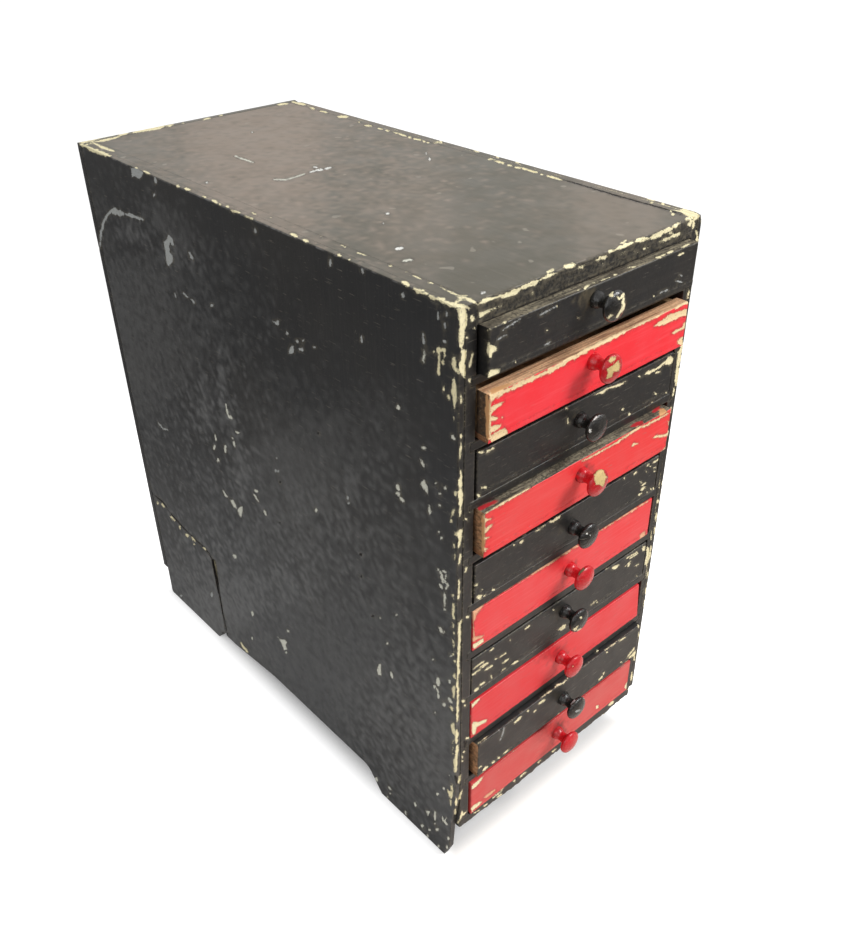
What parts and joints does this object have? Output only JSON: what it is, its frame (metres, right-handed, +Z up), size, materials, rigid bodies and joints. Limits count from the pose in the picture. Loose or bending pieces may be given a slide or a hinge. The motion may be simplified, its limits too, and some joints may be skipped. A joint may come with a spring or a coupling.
{
  "type": "tabletop drawer chest",
  "caption": "Tall narrow wooden tabletop chest with a column of shallow sliding drawers, turned knobs and thin painted side sheets cut to bracket feet.",
  "frame": {"origin": "on the floor, in the middle of the box round the chest, its projecting drawers and its knobs", "axes": "+Z up, the drawers open towards -Y, +X to the right seen from the front"},
  "size_m": [0.205, 0.4542, 0.45],
  "materials": {
    "black_paint": "charcoal-black satin paint, chipped to a cream ground",
    "red_paint": "red satin paint, chipped to a cream ground",
    "bare_wood": "unfinished softwood, darkened with age",
    "nail_steel": "dull dark steel"
  },
  "bodies": {
    "case": {"left_sheet": "black_paint", "right_sheet": "black_paint", "foot_patch": "black_paint", "left_lining": "black_paint", "right_lining": "black_paint", "top_board": "black_paint", "bottom_board": "black_paint", "back_panel": "bare_wood", "back_nails": "nail_steel", "divider_1": "black_paint", "divider_2": "black_paint", "divider_3": "black_paint", "divider_4": "black_paint", "divider_5": "black_paint", "divider_6": "black_paint", "divider_7": "black_paint", "divider_8": "black_paint", "divider_9": "black_paint"},
    "drawer_1": {"drawer_1_front": "black_paint", "drawer_1_bottom": "bare_wood", "drawer_1_box": "bare_wood", "drawer_1_knob": "black_paint"},
    "drawer_2": {"drawer_2_front": "red_paint", "drawer_2_bottom": "bare_wood", "drawer_2_box": "bare_wood", "drawer_2_knob": "red_paint"},
    "drawer_3": {"drawer_3_front": "black_paint", "drawer_3_bottom": "bare_wood", "drawer_3_box": "bare_wood", "drawer_3_knob": "black_paint"},
    "drawer_4": {"drawer_4_front": "red_paint", "drawer_4_bottom": "bare_wood", "drawer_4_box": "bare_wood", "drawer_4_knob": "red_paint"},
    "drawer_5": {"drawer_5_front": "black_paint", "drawer_5_bottom": "bare_wood", "drawer_5_box": "bare_wood", "drawer_5_knob": "black_paint"},
    "drawer_6": {"drawer_6_front": "red_paint", "drawer_6_bottom": "bare_wood", "drawer_6_box": "bare_wood", "drawer_6_knob": "red_paint"},
    "drawer_7": {"drawer_7_front": "black_paint", "drawer_7_bottom": "bare_wood", "drawer_7_box": "bare_wood", "drawer_7_knob": "black_paint"},
    "drawer_8": {"drawer_8_front": "red_paint", "drawer_8_bottom": "bare_wood", "drawer_8_box": "bare_wood", "drawer_8_knob": "red_paint"},
    "drawer_9": {"drawer_9_front": "black_paint", "drawer_9_bottom": "bare_wood", "drawer_9_box": "bare_wood", "drawer_9_knob": "black_paint"},
    "drawer_10": {"drawer_10_front": "red_paint", "drawer_10_bottom": "bare_wood", "drawer_10_box": "bare_wood", "drawer_10_knob": "red_paint"}
  },
  "joints": [
    {"name": "drawer_1_slide", "type": "slide", "parent": "case", "child": "drawer_1", "axis": [0, -1, 0], "range_m": [-0.007, 0.323]},
    {"name": "drawer_2_slide", "type": "slide", "parent": "case", "child": "drawer_2", "axis": [0, -1, 0], "range_m": [-0.0074, 0.3226]},
    {"name": "drawer_3_slide", "type": "slide", "parent": "case", "child": "drawer_3", "axis": [0, -1, 0], "range_m": [-0.0003, 0.3297]},
    {"name": "drawer_4_slide", "type": "slide", "parent": "case", "child": "drawer_4", "axis": [0, -1, 0], "range_m": [-0.0061, 0.3239]},
    {"name": "drawer_5_slide", "type": "slide", "parent": "case", "child": "drawer_5", "axis": [0, -1, 0], "range_m": [-0.0003, 0.3297]},
    {"name": "drawer_6_slide", "type": "slide", "parent": "case", "child": "drawer_6", "axis": [0, -1, 0], "range_m": [-0.0006, 0.3294]},
    {"name": "drawer_7_slide", "type": "slide", "parent": "case", "child": "drawer_7", "axis": [0, -1, 0], "range_m": [-0.0002, 0.3298]},
    {"name": "drawer_8_slide", "type": "slide", "parent": "case", "child": "drawer_8", "axis": [0, -1, 0], "range_m": [-0.0006, 0.3294]},
    {"name": "drawer_9_slide", "type": "slide", "parent": "case", "child": "drawer_9", "axis": [0, -1, 0], "range_m": [-0.0044, 0.3256]},
    {"name": "drawer_10_slide", "type": "slide", "parent": "case", "child": "drawer_10", "axis": [0, -1, 0], "range_m": [-0.0008, 0.3292]}
  ]
}
